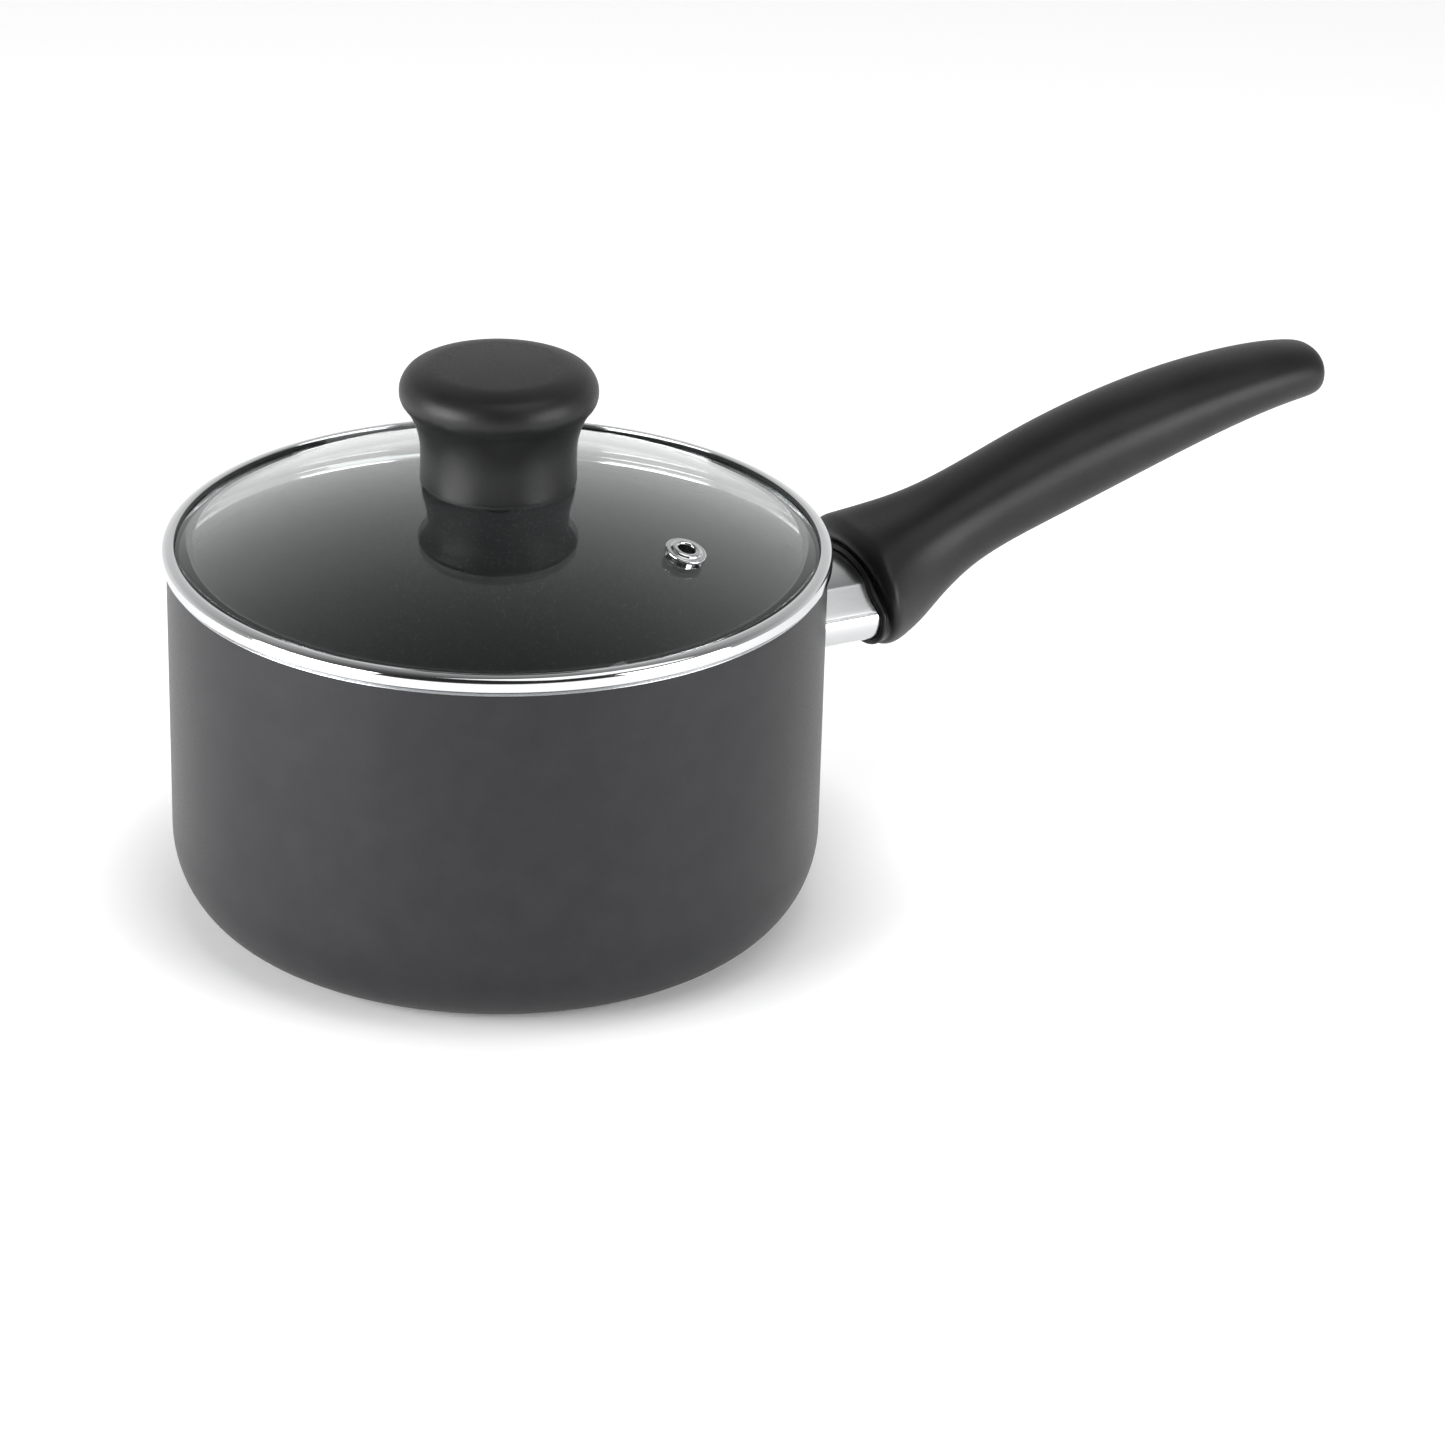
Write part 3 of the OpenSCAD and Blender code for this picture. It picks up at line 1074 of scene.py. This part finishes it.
class SAUCEPAN_OT_handle(bpy.types.Operator):
    """Builds the moulded handle with its mouth, thumb hollow and screw hole"""

    bl_idname = "saucepan.handle"
    bl_label = "Handle"

    def execute(self, context):
        mouth_x = PAN_HIGH.y + MOUTH_GAP
        bm = bmesh.new()
        rings = []
        for away, growth in LIP_RINGS:
            ring = guard_ring(bm, growth, WAVE_DEPTH if away < 2 else 0.0)
            place = Vector((mouth_x + away * MM, 0, GUARD_MIDDLE))
            bmesh.ops.translate(bm, vec=place, verts=ring)
            rings.append(ring)
        for index, (away, rise, half_width, half_height, dish) in enumerate(HANDLE_RINGS):
            before = HANDLE_RINGS[max(0, index - 1)]
            after = HANDLE_RINGS[min(len(HANDLE_RINGS) - 1, index + 1)]
            lean = atan2(after[1] - before[1], after[0] - before[0])
            settle = min(1.0, max(0.0, (away - SETTLE_FROM) / SETTLE_OVER))
            ring = oval_ring(bm, half_width * MM, half_height * MM, dish * MM, BELLY * settle)
            place = Matrix.Translation((mouth_x + away * MM, 0, MOUTH_HEIGHT + rise * MM))
            tilt = Matrix.Rotation(-lean * settle, 4, "Y")
            for vert in ring:
                vert.co.x -= MOUTH_HOOD * max(vert.co.z, 0.0) * (1 - settle)
            bmesh.ops.transform(bm, matrix=place @ tilt, verts=ring)
            rings.append(ring)
        for first, second in zip(rings, rings[1:]):
            bmesh.ops.bridge_loops(bm, edges=ring_edges(first) + ring_edges(second))
        bmesh.ops.contextual_create(bm, geom=ring_edges(rings[-1]))
        self.hollow_core(bm, rings[0])
        bmesh.ops.recalc_face_normals(bm, faces=bm.faces)
        handle = make_piece(
            "handle_shell",
            bm,
            "pan",
            ("phenolic_resin",),
            ("handle_grip",),
            sharp=60,
        )
        smooth = handle.modifiers.new("smooth", "SUBSURF")
        smooth.levels = smooth.render_levels = 2
        cut_away(handle, self.screw_recess())
        return {"FINISHED"}

    def screw_recess(self):
        """The round recess below, square to the handle's underside, that ends at the screw."""
        screw_low, screw_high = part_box("handle_screw")
        middle = (screw_low + screw_high) / 2
        radius, depth, below = 5 * MM, 24 * MM, 14 * MM
        drill = bmesh.new()
        bmesh.ops.create_cone(
            drill,
            cap_ends=True,
            segments=48,
            radius1=radius,
            radius2=radius,
            depth=depth,
            matrix=Matrix.Translation((middle.x, 0, middle.z))
            @ Matrix.Rotation(radians(-15), 4, "Y")
            @ Matrix.Translation((0, 0, -below)),
        )
        return drill

    def hollow_core(self, bm, ring):
        """Closes the socket's bottom and sinks a pocket for the bracket's tongue."""
        rib, narrowing = 4 * MM, 0.55
        pocket_depth, pocket_rise = 44 * MM, 13.5 * MM
        floor = bmesh.ops.contextual_create(bm, geom=ring_edges(ring))["faces"]
        bmesh.ops.inset_region(bm, faces=floor, thickness=rib)
        bmesh.ops.scale(
            bm,
            vec=(1, narrowing, 1),
            verts=floor[0].verts,
            space=Matrix.Translation(-floor[0].calc_center_median()),
        )
        pushed = bmesh.ops.extrude_discrete_faces(bm, faces=floor)["faces"]
        bmesh.ops.translate(
            bm, vec=Vector((pocket_depth, 0, pocket_rise)), verts=pushed[0].verts
        )


class SAUCEPAN_OT_guard(bpy.types.Operator):
    """Builds the steel flame guard between the pan and the handle"""

    bl_idname = "saucepan.guard"
    bl_label = "Flame guard"

    def execute(self, context):
        wall = PAN_HIGH.y + 0.1 * MM
        steps = 3
        bm = bmesh.new()
        right = [(y * MM, z * MM) for y, z in GUARD_OUTLINE]
        left = [(-y, z) for y, z in reversed(right[1:-1])]
        draw_chain(bm, [(0, y, GUARD_MIDDLE + z) for y, z in right + left], closed=True)
        edges = bm.edges[:]
        for _ in range(steps):
            made = bmesh.ops.extrude_edge_only(bm, edges=edges)["geom"]
            edges = [e for e in made if isinstance(e, bmesh.types.BMEdge)]
            moved = [v for v in made if isinstance(v, bmesh.types.BMVert)]
            edges = [e for e in edges if all(v in moved for v in e.verts)]
            bmesh.ops.translate(bm, vec=(1, 0, 0), verts=moved)
        for vert in bm.verts:
            start = sqrt(wall**2 - vert.co.y**2)
            vert.co.x = start + (GUARD_HIGH.x - start) * vert.co.x / steps
        self.mark_creases(bm)
        bmesh.ops.recalc_face_normals(bm, faces=bm.faces)
        face_outward(bm, Vector((0, 0, GUARD_MIDDLE)), Vector((0, 1, 1)))
        guard = make_piece(
            "guard_sleeve",
            bm,
            "pan",
            ("satin_guard_steel",),
            ("flame_guard",),
            sharp=70,
        )
        smooth = guard.modifiers.new("smooth", "SUBSURF")
        smooth.levels = smooth.render_levels = 3
        thick = guard.modifiers.new("sheet", "SOLIDIFY")
        thick.thickness = 0.8 * MM
        thick.offset = -1
        return {"FINISHED"}

    def mark_creases(self, bm):
        """Keeps the crease, the seam and both ends sharp."""
        crease = bm.edges.layers.float.new("crease_edge")
        for edge in bm.edges:
            first, second = (v.co for v in edge.verts)
            along = abs((first - second).normalized().x) > 0.9
            on_crease = abs(abs(first.y) - CREASE_SIDE * MM) < 0.1 * MM and first.z > GUARD_MIDDLE
            on_seam = abs(abs(first.y) - SEAM_SIDE * MM) < 0.02 * MM
            if edge.is_boundary or (along and (on_crease or on_seam)):
                edge[crease] = 1.0


# ---------------------------------------------------------------- stage


# Softboxes: name, place, the point it faces, width and height, power in watts
SOFTBOXES = (
    ("left_box", (-0.998, -0.052, 0.3), (0, 0, 0.06), (0.8, 0.6), 15),
    ("right_box", (0.574, -0.819, 0.3), (0, 0, 0.06), (0.7, 0.6), 7.5),
    ("top_box", (0.2, -0.36, 1.1), (0.05, 0, 0), (0.9, 0.8), 3.6),
)
FLOOR_RADIUS = 6
FLOOR_DROP = 0.05 * MM  # keeps the paper just clear of the base


def hang_softbox(name, place, aim, size, power):
    """A rectangular area lamp that faces a point."""
    lamp = bpy.data.lights.new(name, "AREA")
    lamp.shape = "RECTANGLE"
    lamp.size, lamp.size_y = size
    lamp.energy = power
    box = link_object(name, lamp)
    box.location = place
    box.rotation_euler = (Vector(aim) - Vector(place)).to_track_quat("-Z", "Y").to_euler()


class SAUCEPAN_OT_stage(bpy.types.Operator):
    """Sets the paper floor, the studio light and the camera"""

    bl_idname = "saucepan.stage"
    bl_label = "Stage"

    def execute(self, context):
        stage = context.scene.saucepan_stage
        self.lay_floor()
        self.light_surround(context.scene, stage)
        for softbox in SOFTBOXES:
            hang_softbox(*softbox)
        self.set_camera(context.scene, stage)
        context.scene.view_settings.view_transform = "Standard"
        return {"FINISHED"}

    def lay_floor(self):
        """A round sheet of paper under the pan."""
        bm = bmesh.new()
        bmesh.ops.create_circle(bm, cap_ends=True, segments=96, radius=FLOOR_RADIUS)
        bmesh.ops.translate(bm, vec=(0, 0, -FLOOR_DROP), verts=bm.verts)
        mesh = new_mesh("paper_floor", bm)
        mesh.materials.append(finish_named("studio_paper"))
        floor = link_object("paper_floor", mesh)

    def light_surround(self, scene, stage):
        """White walls that fall off to a dim ceiling, and a dark room behind the camera."""
        world = bpy.data.worlds.new("studio")
        world.use_nodes = True
        scene.world = world
        tree = world.node_tree
        tree.nodes.clear()
        direction = add_node(tree, "ShaderNodeTexCoord").outputs["Generated"]
        height = add_node(
            tree, "ShaderNodeSeparateXYZ", inputs={0: direction}
        ).outputs["Z"]
        walls = spread(tree, height, 0.1, 1.0, stage.surround, 0.2 * stage.surround)
        behind_camera = add_node(
            tree,
            "ShaderNodeVectorMath",
            {"operation": "DOT_PRODUCT"},
            {0: direction, 1: (*Vector(stage.camera_place).xy.normalized(), 0)},
        ).outputs["Value"]
        shade = spread(tree, behind_camera, -0.7, 0.6, 1.0, 0.05)
        level = add_node(
            tree, "ShaderNodeMath", {"operation": "MULTIPLY"}, {0: walls, 1: shade}
        ).outputs[0]
        glow = add_node(
            tree,
            "ShaderNodeBackground",
            inputs={"Color": (1, 1, 1, 1), "Strength": level},
        )
        add_node(tree, "ShaderNodeOutputWorld", inputs={"Surface": glow.outputs[0]})

    def set_camera(self, scene, stage):
        """The camera, aimed and rolled as the stage's settings say."""
        lens = bpy.data.cameras.new("camera")
        lens.sensor_width = 36
        lens.lens = stage.lens
        lens.clip_end = 20
        camera = link_object("camera", lens)
        sight = Vector(stage.camera_aim) - Vector(stage.camera_place)
        turn = sight.to_track_quat("-Z", "Y").to_matrix().to_4x4()
        roll = Matrix.Rotation(stage.camera_roll, 4, "Z")
        camera.matrix_world = Matrix.Translation(stage.camera_place) @ turn @ roll
        scene.camera = camera


# ---------------------------------------------------------------- panel and registration

OPERATORS = (
    SAUCEPAN_OT_pan,
    SAUCEPAN_OT_glass,
    SAUCEPAN_OT_band,
    SAUCEPAN_OT_vent,
    SAUCEPAN_OT_knob,
    SAUCEPAN_OT_guard,
    SAUCEPAN_OT_handle,
    SAUCEPAN_OT_stage,
)
SIZES = {
    "saucepan_pan": SaucepanPan,
    "saucepan_lid": SaucepanLid,
    "saucepan_look": SaucepanLook,
    "saucepan_stage": SaucepanStage,
}


class SAUCEPAN_PT_build(bpy.types.Panel):
    """Lists the pieces in the order they are built"""

    bl_label = "Saucepan"
    bl_space_type = "VIEW_3D"
    bl_region_type = "UI"
    bl_category = "Saucepan"

    def draw(self, context):
        for operator in OPERATORS:
            self.layout.operator(operator.bl_idname)


def register():
    for group in SIZES.values():
        bpy.utils.register_class(group)
    for operator in OPERATORS:
        bpy.utils.register_class(operator)
    bpy.utils.register_class(SAUCEPAN_PT_build)
    for name, group in SIZES.items():
        setattr(bpy.types.Scene, name, bpy.props.PointerProperty(type=group))


def unregister():
    for name in SIZES:
        delattr(bpy.types.Scene, name)
    bpy.utils.unregister_class(SAUCEPAN_PT_build)
    for operator in reversed(OPERATORS):
        bpy.utils.unregister_class(operator)
    for group in reversed(SIZES.values()):
        bpy.utils.unregister_class(group)


def main():
    register()
    for operator in OPERATORS:
        section, name = operator.bl_idname.split(".")
        getattr(getattr(bpy.ops, section), name)()


if __name__ == "__main__":
    main()
